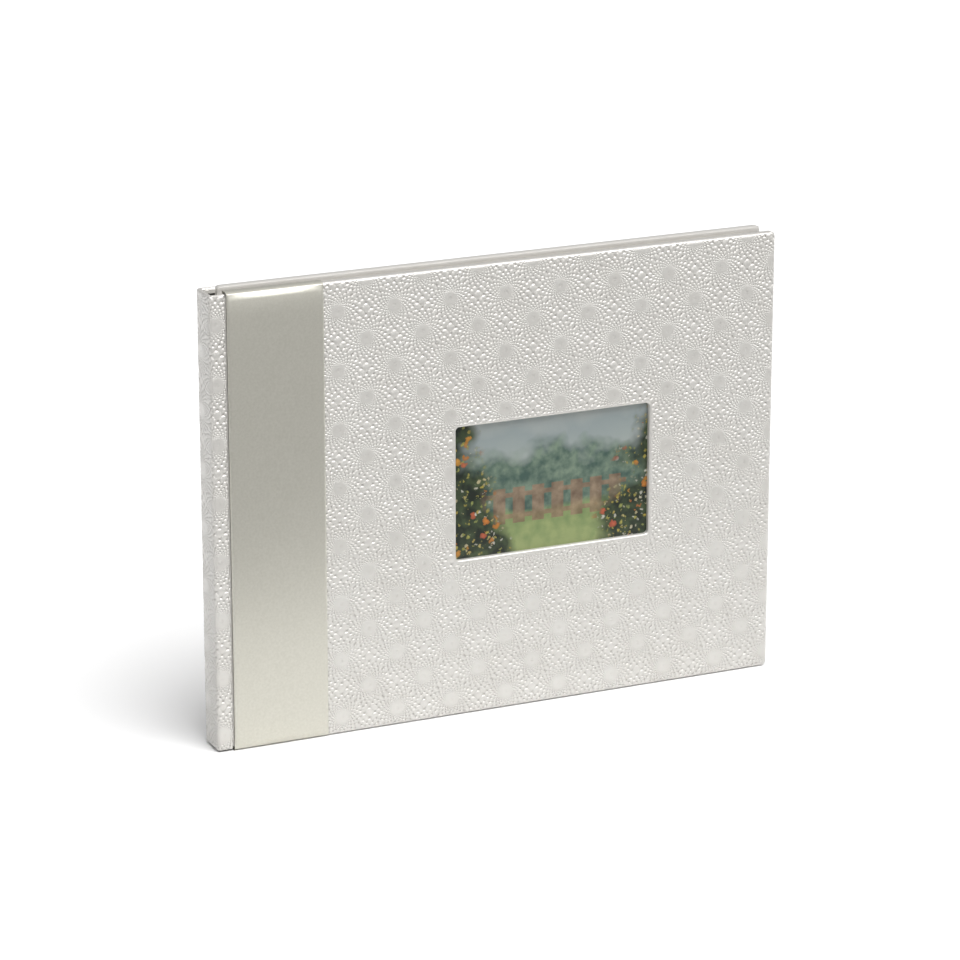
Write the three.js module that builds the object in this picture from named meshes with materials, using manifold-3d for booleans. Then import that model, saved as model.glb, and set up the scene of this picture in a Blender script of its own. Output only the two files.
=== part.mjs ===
// Landscape photo album with a window in its front cover, closed and standing on its long lower edge.
// Millimetres, +Z up. +X runs from the spine to the fore-edge and the front cover faces -Y.
// The origin is the middle of the footprint, on the floor.

import * as THREE from 'three';
import { mergeVertices } from 'three/addons/utils/BufferGeometryUtils.js';
import Module from 'manifold-3d';

const wasm = await Module();
wasm.setup();

// Covers
const coverLength = 282.6;
const coverHeight = 221.2;
const coverCornerRadius = 2.4;
const frameBoardThickness = 2.0;
const backingBoardThickness = 1.2;
const backBoardThickness = 2.4;

// Leatherette skin, and the film of glue between one layer and the next
const skinThickness = 0.6;
const skinRounding = 1.2;
const turnInWidth = 15;
const glueLine = 0.1;

// Smooth padded band, wrapped round the front cover at its spine end
const bandWidth = 47.6;
const bandPadding = 1.5;
const bandEdgeThickness = 0.3;
const bandRounding = 3.2;
const bandInnerRounding = 0.4;
const bandSideRounding = 0.8;
const bandTurnInWidth = 12;

// Picture window in the front cover
const windowWidth = 102;
const windowHeight = 66;
const windowCornerRadius = 1.2;
const printBorder = 5;
const printThickness = 0.25;

// Lining paper inside each cover
const liningThickness = 0.3;
const liningMargin = 3.5;

// Leaves and the channel that grips them
const leafCount = 13;
const leafThickness = 0.6;
const leafSpacing = 0.08;
const leafEdgeDepth = 0.8;
const leafEndMargin = 5;
const leafForeMargin = 5.5;
const pageClearance = 0.4;
const channelWall = 0.5;
const channelClearance = 0.1;
const channelDepth = 5.6;
const channelSeat = 0.3;

// Spine, a stiff C wrapped in the same skin as the covers
const spineDepth = 7.8;
const spineEndInset = 0.4;
const spineFrontSetback = 0.3;
const spineBackSetback = 2.0;
const spineCornerRadius = 1.8;
const stiffenerThickness = 0.9;
const hemThickness = 0.5;
const hemDepth = 3.6;
const hemRelief = 0.5;

// Joints between the spine and the covers
const frontFlangeEnd = -0.2;
const frontCoverStart = 0.5;
const backFlangeEnd = 1.0;
const backCoverStart = 1.6;

const arcSteps = 6;
const roundingSteps = 3;
// How far a cutting tool runs past the face it opens
const past = 5;

// Layers of the front cover, counted in from its outer face at Y = 0
const bandFaceY = -glueLine - bandPadding;
const frameBoardY = skinThickness + glueLine;
const backingBoardY = frameBoardY + frameBoardThickness + glueLine;
const printY = backingBoardY - glueLine - printThickness;
const frontInnerY = backingBoardY + backingBoardThickness + glueLine + skinThickness;
const bandTurnInY = frontInnerY + glueLine;
const frontLiningY = bandTurnInY + bandEdgeThickness + glueLine;

// Leaves, then the layers of the back cover
const leafPitch = leafThickness + leafSpacing;
const pageBlockThickness = leafCount * leafPitch - leafSpacing;
const pageBlockY = frontLiningY + liningThickness + pageClearance;
const backLiningY = pageBlockY + pageBlockThickness + pageClearance;
const backInnerY = backLiningY + liningThickness + glueLine;
const backBoardY = backInnerY + skinThickness + glueLine;
const backFaceY = backBoardY + backBoardThickness + glueLine + skinThickness;

// Heights: the band and the back cover stand on the floor
const bandLift = bandEdgeThickness + glueLine;
const frontFootZ = bandLift;
const albumHeight = coverHeight + 2 * bandLift;
const spineHeight = coverHeight - 2 * spineEndInset;
const spineFootZ = frontFootZ + spineEndInset;
const leafFootZ = frontFootZ + leafEndMargin;
const leafHeadZ = frontFootZ + coverHeight - leafEndMargin;

// Lengths along X, from the front joint
const frontForeX = frontCoverStart + coverLength;
const backForeX = frontForeX;
const bandEndX = frontCoverStart + bandWidth;
const spineFaceX = -spineDepth;
const spineFrontY = spineFrontSetback;
const spineBackY = backFaceY - spineBackSetback;

// Finishes
const leatherette = { color: 0xd9d5ce, roughness: 0.42, metalness: 0.05 };
const satin = { color: 0xc6c4b8, roughness: 0.38, metalness: 0.12 };
const greyboard = { color: 0x8f8a80, roughness: 0.9, metalness: 0 };
const liningPaper = { color: 0xe6dccb, roughness: 0.75, metalness: 0 };
const pagePaper = { color: 0xf1eee6, roughness: 0.7, metalness: 0 };
const sheetSteel = { color: 0x4a4c50, roughness: 0.45, metalness: 0.8 };
const printPaper = { color: 0x7f8f7c, roughness: 0.3, metalness: 0 };

/** Closed solid of a geometry, ready for joins and cuts. */
function solidOf(geometry) {
  geometry.deleteAttribute('normal');
  geometry.deleteAttribute('uv');
  const merged = mergeVertices(geometry);
  return new wasm.Manifold(new wasm.Mesh({
    numProp: 3,
    vertProperties: new Float32Array(merged.attributes.position.array),
    triVerts: new Uint32Array(merged.index.array),
  }));
}

/** Named mesh of a finished solid. */
function part(name, solid, finish) {
  const { vertProperties, triVerts } = solid.getMesh();
  const geometry = new THREE.BufferGeometry();
  geometry.setAttribute('position', new THREE.BufferAttribute(vertProperties, 3));
  geometry.setIndex(new THREE.BufferAttribute(triVerts, 1));
  geometry.computeVertexNormals();
  const mesh = new THREE.Mesh(geometry, new THREE.MeshStandardMaterial(finish));
  mesh.name = name;
  return mesh;
}

/** Rectangle with rounded corners, or square ones where the radius is 0. */
function roundedRectangle(left, low, right, high, radius) {
  const outline = new THREE.Shape();
  if (radius === 0) {
    outline.moveTo(left, low).lineTo(right, low).lineTo(right, high).lineTo(left, high);
    return outline;
  }
  outline.absarc(right - radius, low + radius, radius, -Math.PI / 2, 0);
  outline.absarc(right - radius, high - radius, radius, 0, Math.PI / 2);
  outline.absarc(left + radius, high - radius, radius, Math.PI / 2, Math.PI);
  outline.absarc(left + radius, low + radius, radius, Math.PI, 1.5 * Math.PI);
  return outline;
}

/** Sheet with its outline in X and Z, from y0 to y1, with both rims rounded where asked. */
function sheet(outline, y0, y1, rounding = 0) {
  const geometry = new THREE.ExtrudeGeometry(outline, {
    depth: y1 - y0 - 2 * rounding,
    curveSegments: arcSteps,
    bevelEnabled: rounding > 0,
    bevelThickness: rounding,
    bevelSize: rounding,
    bevelOffset: -rounding,
    bevelSegments: roundingSteps,
  });
  geometry.translate(0, 0, rounding);
  geometry.applyMatrix4(new THREE.Matrix4().makeBasis(
    new THREE.Vector3(1, 0, 0), new THREE.Vector3(0, 0, 1), new THREE.Vector3(0, -1, 0)));
  geometry.translate(0, y1, 0);
  return solidOf(geometry);
}

/** Bar with its section in Y and Z, from x0 to x1. */
function barAlongX(section, x0, x1) {
  const geometry = new THREE.ExtrudeGeometry(section, {
    depth: x1 - x0, curveSegments: arcSteps, bevelEnabled: false });
  geometry.applyMatrix4(new THREE.Matrix4().makeBasis(
    new THREE.Vector3(0, 1, 0), new THREE.Vector3(0, 0, 1), new THREE.Vector3(1, 0, 0)));
  geometry.translate(x0, 0, 0);
  return solidOf(geometry);
}

/** Upright bar with its section in X and Y, from z0 to z1. */
function upright(section, z0, z1) {
  const geometry = new THREE.ExtrudeGeometry(section, {
    depth: z1 - z0, curveSegments: arcSteps, bevelEnabled: false });
  geometry.translate(0, 0, z0);
  return solidOf(geometry);
}

/** Plain block between two corners. */
function block(x0, y0, z0, x1, y1, z1) {
  const geometry = new THREE.BoxGeometry(x1 - x0, y1 - y0, z1 - z0);
  geometry.translate((x0 + x1) / 2, (y0 + y1) / 2, (z0 + z1) / 2);
  return solidOf(geometry);
}

/** The window's outline, grown by a margin on every side. */
function windowOutline(grow) {
  const middleX = (bandEndX + frontForeX) / 2;
  const middleZ = frontFootZ + coverHeight / 2;
  return roundedRectangle(
    middleX - windowWidth / 2 - grow, middleZ - windowHeight / 2 - grow,
    middleX + windowWidth / 2 + grow, middleZ + windowHeight / 2 + grow, windowCornerRadius + grow);
}

/** A cover's outline in X and Z, shrunk by an inset on every side. */
function coverOutline(startX, foreX, footZ, inset) {
  return roundedRectangle(
    startX + inset, footZ + inset, foreX - inset, footZ + coverHeight - inset,
    Math.max(coverCornerRadius - inset, 0));
}

/** Skin wrapped round a board, with its edges turned in on the inner side. */
function wrappedSkin(startX, foreX, footZ, y0, y1, openY0, openY1) {
  const skin = sheet(coverOutline(startX, foreX, footZ, 0), y0, y1, skinRounding);
  const room = sheet(coverOutline(startX, foreX, footZ, skinThickness), y0 + skinThickness, y1 - skinThickness);
  const opening = sheet(coverOutline(startX, foreX, footZ, turnInWidth), openY0, openY1);
  return { skin: skin.subtract(opening), room };
}

/** Front cover: framed board, print, backing board, embossed skin, band and lining. */
function frontCover() {
  const cover = new THREE.Group();
  const boardInset = skinThickness + glueLine;
  const boardOutline = coverOutline(frontCoverStart, frontForeX, frontFootZ, boardInset);

  // The skin turns in through the window and stops just short of the print
  const { skin, room } = wrappedSkin(
    frontCoverStart, frontForeX, frontFootZ, 0, frontInnerY, frontInnerY - skinThickness, frontInnerY + past);
  const lip = sheet(windowOutline(skinThickness), skinThickness / 2, printY - glueLine);
  const covering = skin.subtract(room).add(lip).subtract(sheet(windowOutline(0), -past, frontInnerY));
  cover.add(part('front_covering', covering, leatherette));

  const printSeat = sheet(windowOutline(printBorder + glueLine), printY - glueLine, backingBoardY);
  const frame = sheet(boardOutline, frameBoardY, frameBoardY + frameBoardThickness)
    .subtract(sheet(windowOutline(skinThickness + glueLine), 0, frontInnerY))
    .subtract(printSeat);
  cover.add(part('front_frame_board', frame, greyboard));

  const print = sheet(windowOutline(printBorder), printY, printY + printThickness);
  cover.add(part('window_print', print, printPaper));

  const backing = sheet(boardOutline, backingBoardY, backingBoardY + backingBoardThickness);
  cover.add(part('front_backing_board', backing, greyboard));

  cover.add(part('front_band', frontBand(), satin));

  const lining = sheet(
    coverOutline(frontCoverStart, frontForeX, frontFootZ, liningMargin),
    frontLiningY, frontLiningY + liningThickness);
  cover.add(part('front_lining', lining, liningPaper));
  return cover;
}

/** Section in Y and Z with soft corners towards the front and tighter ones inside. */
function bandSection(y0, y1, z0, z1, frontRadius) {
  const outline = new THREE.Shape();
  const quarter = Math.PI / 2;
  const corner = (y, z, radius, turn) => outline.absarc(y, z, radius, turn * quarter, (turn + 1) * quarter);
  corner(y1 - bandInnerRounding, z0 + bandInnerRounding, bandInnerRounding, -1);
  corner(y1 - bandInnerRounding, z1 - bandInnerRounding, bandInnerRounding, 0);
  corner(y0 + frontRadius, z1 - frontRadius, frontRadius, 1);
  corner(y0 + frontRadius, z0 + frontRadius, frontRadius, 2);
  return outline;
}

/** Padded band: one strip that runs down the front and turns in over the head and the foot. */
function frontBand() {
  const innerY = bandTurnInY + bandEdgeThickness;
  const x0 = frontCoverStart - past;
  const x1 = bandEndX + past;
  const wrap = barAlongX(bandSection(bandFaceY, innerY, 0, albumHeight, bandRounding), x0, x1);
  const roomHeadZ = albumHeight - bandEdgeThickness;
  const coverRoom = barAlongX(
    bandSection(-glueLine, bandTurnInY, bandEdgeThickness, roomHeadZ, skinRounding + glueLine), x0, x1);
  const openInside = block(x0, frontInnerY, bandTurnInWidth, x1, innerY + past, albumHeight - bandTurnInWidth);

  // Seen from above, the padding is rounded down along both sides of the strip
  const plan = new THREE.Shape();
  const roundedY = bandFaceY + bandSideRounding;
  plan.absarc(bandEndX - bandSideRounding, roundedY, bandSideRounding, -Math.PI / 2, 0);
  plan.lineTo(bandEndX, innerY + past).lineTo(frontCoverStart, innerY + past);
  plan.absarc(frontCoverStart + bandSideRounding, roundedY, bandSideRounding, Math.PI, 1.5 * Math.PI);
  const sides = upright(plan, -past, albumHeight + past);
  return wrap.subtract(coverRoom).subtract(openInside).intersect(sides);
}

/** Back cover: one board in the same skin, with its lining. */
function backCover() {
  const cover = new THREE.Group();
  const { skin, room } = wrappedSkin(
    backCoverStart, backForeX, 0, backInnerY, backFaceY, backInnerY - past, backInnerY + skinThickness);
  cover.add(part('back_covering', skin.subtract(room), leatherette));

  const boardOutline = coverOutline(backCoverStart, backForeX, 0, skinThickness + glueLine);
  const board = sheet(boardOutline, backBoardY, backBoardY + backBoardThickness);
  cover.add(part('back_board', board, greyboard));

  const lining = sheet(
    coverOutline(backCoverStart, backForeX, 0, liningMargin), backLiningY, backLiningY + liningThickness);
  cover.add(part('back_lining', lining, liningPaper));
  return cover;
}

/** C-shaped section of the spine in X and Y, between two depths below its outer face. */
function spineSection(outerInset, innerInset) {
  const outline = new THREE.Shape();
  const arc = (inset, low) => ({
    x: spineFaceX + spineCornerRadius,
    y: low ? spineFrontY + spineCornerRadius : spineBackY - spineCornerRadius,
    radius: Math.max(spineCornerRadius - inset, glueLine),
    shift: Math.max(inset - spineCornerRadius + glueLine, 0),
  });
  const addArc = (inset, low, from, to, clockwise) => {
    const a = arc(inset, low);
    const side = low ? 1 : -1;
    outline.absarc(a.x + a.shift, a.y + side * a.shift, a.radius, from, to, clockwise);
  };
  addArc(outerInset, true, 1.5 * Math.PI, Math.PI, true);
  addArc(outerInset, false, Math.PI, 0.5 * Math.PI, true);
  outline.lineTo(backFlangeEnd, spineBackY - outerInset);
  outline.lineTo(backFlangeEnd, spineBackY - innerInset);
  addArc(innerInset, false, 0.5 * Math.PI, Math.PI, false);
  addArc(innerInset, true, Math.PI, 1.5 * Math.PI, false);
  outline.lineTo(frontFlangeEnd, spineFrontY + innerInset);
  outline.lineTo(frontFlangeEnd, spineFrontY + outerInset);
  return outline;
}

/** Spine: stiffener in its skin, hemmed at head and foot, with the channel that grips the leaves. */
function spine() {
  const group = new THREE.Group();
  const headZ = spineFootZ + spineHeight;
  const stiffenerInset = skinThickness + glueLine;
  const stiffenerInnerInset = stiffenerInset + stiffenerThickness;
  const hemInset = stiffenerInnerInset + glueLine;
  const hemInnerInset = hemInset + hemThickness;

  const stiffener = upright(
    spineSection(stiffenerInset, stiffenerInnerInset), spineFootZ + stiffenerInset, headZ - stiffenerInset);
  group.add(part('spine_stiffener', stiffener, greyboard));

  const whole = upright(spineSection(0, hemInnerInset), spineFootZ, headZ);
  const stiffenerRoom = upright(
    spineSection(skinThickness, hemInset), spineFootZ + skinThickness, headZ - skinThickness);
  const belowHems = upright(
    spineSection(stiffenerInset, hemInnerInset + hemRelief), spineFootZ + hemDepth, headZ - hemDepth);
  group.add(part('spine_covering', whole.subtract(stiffenerRoom).subtract(belowHems), leatherette));

  const channelX = spineFaceX + stiffenerInnerInset + channelSeat;
  const channelY0 = pageBlockY - channelClearance - channelWall;
  const channelY1 = pageBlockY + pageBlockThickness + channelClearance + channelWall;
  const channel = block(channelX, channelY0, leafFootZ, channelX + channelDepth, channelY1, leafHeadZ)
    .subtract(block(
      channelX + channelWall, channelY0 + channelWall, leafFootZ - past,
      channelX + channelDepth + past, channelY1 - channelWall, leafHeadZ + past));
  group.add(part('page_channel', channel, sheetSteel));

  const leafStartX = channelX + channelWall + channelClearance;
  group.add(part('page_block', pageBlock(leafStartX), pagePaper));
  return group;
}

/** The leaves as one block, with the edge of each leaf standing clear on the three open sides. */
function pageBlock(startX) {
  const foreX = frontForeX - leafForeMargin;
  let leaves = block(
    startX, pageBlockY, leafFootZ + leafEdgeDepth,
    foreX - leafEdgeDepth, pageBlockY + pageBlockThickness, leafHeadZ - leafEdgeDepth);
  for (let i = 0; i < leafCount; i += 1) {
    const y = pageBlockY + i * leafPitch;
    leaves = leaves.add(block(startX, y, leafFootZ, foreX, y + leafThickness, leafHeadZ));
  }
  return leaves;
}

const album = new THREE.Group();
album.name = 'photo_album';
album.add(spine(), frontCover(), backCover());
album.position.set(-(spineFaceX + frontForeX) / 2, -(bandFaceY + backFaceY) / 2, 0);

export default album;
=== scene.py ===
"""Dresses the photo album: embossed covers and spine, satin band, paper inside, and the plain studio."""
import logging
import math
from dataclasses import dataclass, field
from enum import Enum
from typing import Callable, Sequence, Union

import bmesh
import bpy
import numpy as np
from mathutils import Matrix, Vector


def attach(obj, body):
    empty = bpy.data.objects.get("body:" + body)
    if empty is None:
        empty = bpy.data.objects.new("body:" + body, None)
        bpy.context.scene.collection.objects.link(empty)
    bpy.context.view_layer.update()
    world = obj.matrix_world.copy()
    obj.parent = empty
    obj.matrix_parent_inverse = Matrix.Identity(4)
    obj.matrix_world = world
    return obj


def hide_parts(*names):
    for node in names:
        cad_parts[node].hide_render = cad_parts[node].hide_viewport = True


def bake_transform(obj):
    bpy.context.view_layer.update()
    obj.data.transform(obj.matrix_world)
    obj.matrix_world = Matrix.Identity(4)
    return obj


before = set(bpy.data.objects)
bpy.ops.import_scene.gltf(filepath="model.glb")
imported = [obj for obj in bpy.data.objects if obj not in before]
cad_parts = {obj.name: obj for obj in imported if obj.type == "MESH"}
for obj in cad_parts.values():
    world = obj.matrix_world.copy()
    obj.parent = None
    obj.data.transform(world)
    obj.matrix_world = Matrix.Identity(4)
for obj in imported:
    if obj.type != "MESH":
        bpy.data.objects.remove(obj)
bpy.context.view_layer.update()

LOG = logging.getLogger("album")

# Lengths are in mm in the working frame: X from the joint line, Y from the front covering's face,
# Z from the floor. MIDDLE is the row frame's origin there, and NEAR is how close counts as touching.
MM = 0.001
MIDDLE = np.array((137.65, 8.83, 0.0))
NEAR = 0.05

Value = Union[float, bpy.types.NodeSocket]
Colour = tuple[float, float, float]


def row_point(x: float, y: float, z: float) -> Vector:
    """The row frame point, in metres, of a working frame point in mm."""
    return Vector((np.array((x, y, z)) - MIDDLE) * MM)


class Slot(Enum):
    """The record's material slots."""

    LEATHERETTE = "leatherette"
    SATIN = "satin_band"


class Body(Enum):
    """The bodies that move."""

    SPINE = "spine"
    FRONT = "front_cover"
    BACK = "back_cover"


class SoftPath:
    """A line through given corners, each rounded with its own radius, with the normal on its right hand."""

    ARC_STEPS = 12

    def __init__(self, corners: Sequence[tuple[float, float, float]]) -> None:
        """Rounds the corners and measures the line.

        Args:
            corners: the two coordinates and the rounding of each corner; both ends have none.
        """
        places = [np.array(corner[:2]) for corner in corners]
        legs = [b - a for a, b in zip(places, places[1:])]
        legs = [leg / np.linalg.norm(leg) for leg in legs]
        points, normals = [places[0]], [self.right_of(legs[0])]
        for place, (_, _, radius), before, after in zip(places[1:], corners[1:-1], legs, legs[1:]):
            turn = math.atan2(before[0] * after[1] - before[1] * after[0], before @ after)
            side = 1.0 if turn > 0 else -1.0
            start = place - before * radius * math.tan(abs(turn) / 2)
            middle = start - self.right_of(before) * radius * side
            for step in range(self.ARC_STEPS + 1):
                angle = turn * step / self.ARC_STEPS
                cosine, sine = math.cos(angle), math.sin(angle)
                right = self.right_of(before)
                normal = np.array((right[0] * cosine - right[1] * sine, right[0] * sine + right[1] * cosine))
                points.append(middle + normal * radius * side)
                normals.append(normal)
        points.append(places[-1])
        normals.append(self.right_of(legs[-1]))
        self.points = np.array(points)
        self.normals = np.array(normals)
        steps = np.linalg.norm(np.diff(self.points, axis=0), axis=1)
        self.along = np.concatenate(((0.0,), np.cumsum(steps))) + np.arange(len(points)) * 1e-9
        self.length = float(self.along[-1])

    @staticmethod
    def right_of(direction: np.ndarray) -> np.ndarray:
        """The unit normal on the right hand of a direction."""
        return np.array((direction[1], -direction[0]))

    def at(self, distance: np.ndarray) -> tuple[np.ndarray, np.ndarray]:
        """Points and normals at distances along the line.

        Args:
            distance: how far along the line, in mm.

        Returns:
            The points and the unit normals, one row each.
        """
        points = np.stack([np.interp(distance, self.along, column) for column in self.points.T], -1)
        normals = np.stack([np.interp(distance, self.along, column) for column in self.normals.T], -1)
        return points, normals / np.linalg.norm(normals, axis=-1, keepdims=True)


class Bench:
    """The modelling bench: the operators that every piece is made with."""

    @staticmethod
    def clear() -> None:
        """Leaves object mode with nothing selected."""
        if bpy.context.object is not None and bpy.context.object.mode != "OBJECT":
            bpy.ops.object.mode_set(mode="OBJECT")
        bpy.ops.object.select_all(action="DESELECT")

    @staticmethod
    def hold(piece: bpy.types.Object) -> None:
        """Selects one piece alone and makes it the active one.

        Args:
            piece: the piece.
        """
        Bench.clear()
        piece.select_set(True)
        bpy.context.view_layer.objects.active = piece

    @staticmethod
    def plate(name: str, columns: int, rows: int) -> bpy.types.Object:
        """Adds a flat grid, two units wide.

        Args:
            name: the piece's name.
            columns: cells along X.
            rows: cells along Y.

        Returns:
            The new piece.
        """
        Bench.clear()
        bpy.ops.mesh.primitive_grid_add(x_subdivisions=columns, y_subdivisions=rows, size=2)
        piece = bpy.context.active_object
        piece.name = piece.data.name = name
        return piece

    @staticmethod
    def lay(piece: bpy.types.Object, xs: np.ndarray, ys: np.ndarray) -> tuple[np.ndarray, np.ndarray]:
        """The two line positions of each vertex of a plate.

        Args:
            piece: the plate.
            xs: positions of its lines along X.
            ys: positions of its lines along Y.

        Returns:
            One position along each direction for every vertex.
        """
        share = (Bench.raw(piece) + 1) / 2
        column = np.rint(share[:, 0] * (len(xs) - 1)).astype(int)
        row = np.rint(share[:, 1] * (len(ys) - 1)).astype(int)
        return xs[column], ys[row]

    @staticmethod
    def raw(piece: bpy.types.Object) -> np.ndarray:
        """Vertex places as Blender holds them.

        Args:
            piece: the piece.

        Returns:
            The places, one row each.
        """
        flat = np.empty(len(piece.data.vertices) * 3)
        piece.data.vertices.foreach_get("co", flat)
        return flat.reshape(-1, 3)

    @staticmethod
    def read(piece: bpy.types.Object) -> np.ndarray:
        """Vertex places in the working frame."""
        return Bench.raw(piece) / MM + MIDDLE

    @staticmethod
    def write(piece: bpy.types.Object, places: np.ndarray) -> None:
        """Sets vertex places, given in the working frame."""
        piece.data.vertices.foreach_set("co", ((places - MIDDLE) * MM).astype(np.float32).ravel())
        piece.data.update()

    @staticmethod
    def mark(piece: bpy.types.Object, u: np.ndarray, v: np.ndarray, press: np.ndarray) -> None:
        """Keeps each vertex's place on the flat blank, in mm, and how deep the emboss is there.

        Args:
            piece: the piece.
            u: place along the blank's width.
            v: place along its height.
            press: the emboss's share of its full depth.
        """
        marks = piece.data.attributes.get("blank")
        if marks is None:
            marks = piece.data.attributes.new("blank", "FLOAT_VECTOR", "POINT")
        rows = np.stack((u, v, np.broadcast_to(press, u.shape)), -1)
        marks.data.foreach_set("vector", rows.astype(np.float32).ravel())

    @staticmethod
    def edit(piece: bpy.types.Object, kind: str) -> None:
        """Opens a piece in edit mode with nothing selected.

        Args:
            piece: the piece.
            kind: VERT, EDGE or FACE.
        """
        Bench.hold(piece)
        bpy.ops.object.mode_set(mode="EDIT")
        bpy.ops.mesh.select_mode(type=kind)
        bpy.ops.mesh.select_all(action="DESELECT")

    @staticmethod
    def pick_faces(piece: bpy.types.Object, wanted: Callable[[np.ndarray], bool]) -> None:
        """Selects the faces whose middle is wanted, in edit mode.

        Args:
            piece: the piece being edited.
            wanted: test on a face's middle, in the working frame.
        """
        mesh = bmesh.from_edit_mesh(piece.data)
        for face in mesh.faces:
            if wanted(np.array(face.calc_center_median()) / MM + MIDDLE):
                face.select_set(True)
        bmesh.update_edit_mesh(piece.data)

    @staticmethod
    def pick_rim(piece: bpy.types.Object, wanted: Callable[[np.ndarray], bool]) -> None:
        """Selects the open edges whose middle is wanted, in edit mode.

        Args:
            piece: the piece being edited.
            wanted: test on an edge's middle, in the working frame.
        """
        mesh = bmesh.from_edit_mesh(piece.data)
        for edge in mesh.edges:
            if edge.is_boundary:
                middle = np.array((edge.verts[0].co + edge.verts[1].co) / 2) / MM + MIDDLE
                if wanted(middle):
                    edge.select_set(True)
        bmesh.update_edit_mesh(piece.data)

    @staticmethod
    def pull_rim(move_y: float, middle: Vector, scale_x: float, scale_z: float) -> None:
        """Extrudes the selected rim, moves it along Y and scales it about a point.

        Args:
            move_y: the move, in mm.
            middle: the point, in the row frame.
            scale_x: scale along X.
            scale_z: scale along Z.
        """
        bpy.ops.mesh.extrude_edges_move(TRANSFORM_OT_translate={"value": (0, move_y * MM, 0)})
        if (scale_x, scale_z) != (1.0, 1.0):
            bpy.ops.transform.resize(value=(scale_x, 1.0, scale_z), center_override=middle)

    @staticmethod
    def close(piece: bpy.types.Object, merge: float = 0.002) -> None:
        """Merges doubles, makes the faces agree and leaves edit mode.

        Args:
            piece: the piece.
            merge: how near two points are merged, in mm.
        """
        Bench.edit(piece, "VERT")
        bpy.ops.mesh.select_all(action="SELECT")
        bpy.ops.mesh.remove_doubles(threshold=merge * MM)
        bpy.ops.mesh.normals_make_consistent(inside=False)
        bpy.ops.object.mode_set(mode="OBJECT")

    @staticmethod
    def face_out(piece: bpy.types.Object) -> None:
        """Turns a closed piece's faces round if they point inwards, which its volume's sign tells.

        Args:
            piece: the piece to turn.
        """
        mesh = piece.data
        places = Bench.read(piece)
        mesh.calc_loop_triangles()
        corners = np.empty(3 * len(mesh.loop_triangles), dtype=np.int32)
        mesh.loop_triangles.foreach_get("vertices", corners)
        first, second, third = (places[corners[i::3]] for i in range(3))
        if (first * np.cross(second, third)).sum() < 0:
            Bench.edit(piece, "FACE")
            bpy.ops.mesh.select_all(action="SELECT")
            bpy.ops.mesh.flip_normals()
            Bench.clear()

    @staticmethod
    def thicken(piece: bpy.types.Object, thickness: float) -> None:
        """Gives a sheet its thickness on the inner side.

        Args:
            piece: the sheet, with its faces outwards.
            thickness: in mm.
        """
        Bench.hold(piece)
        wall = piece.modifiers.new("wall", "SOLIDIFY")
        wall.thickness = thickness * MM
        wall.offset = -1.0
        bpy.ops.object.modifier_apply(modifier=wall.name)

    @staticmethod
    def smooth(piece: bpy.types.Object, degrees: float = 40.0) -> None:
        """Shades a piece smooth, apart from edges sharper than an angle."""
        Bench.hold(piece)
        bpy.ops.object.shade_smooth_by_angle(angle=math.radians(degrees))


def ruled(stops: Sequence[float], spacings: Sequence[float]) -> np.ndarray:
    """Lines from stop to stop, evenly spaced in each stretch.

    Args:
        stops: where the stretches meet.
        spacings: about how far apart the lines of each stretch are.

    Returns:
        The lines' positions.
    """
    lines = [stops[0]]
    for low, high, spacing in zip(stops, stops[1:], spacings):
        lines.extend(np.linspace(low, high, max(1, round((high - low) / spacing)) + 1)[1:])
    return np.array(lines)


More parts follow.
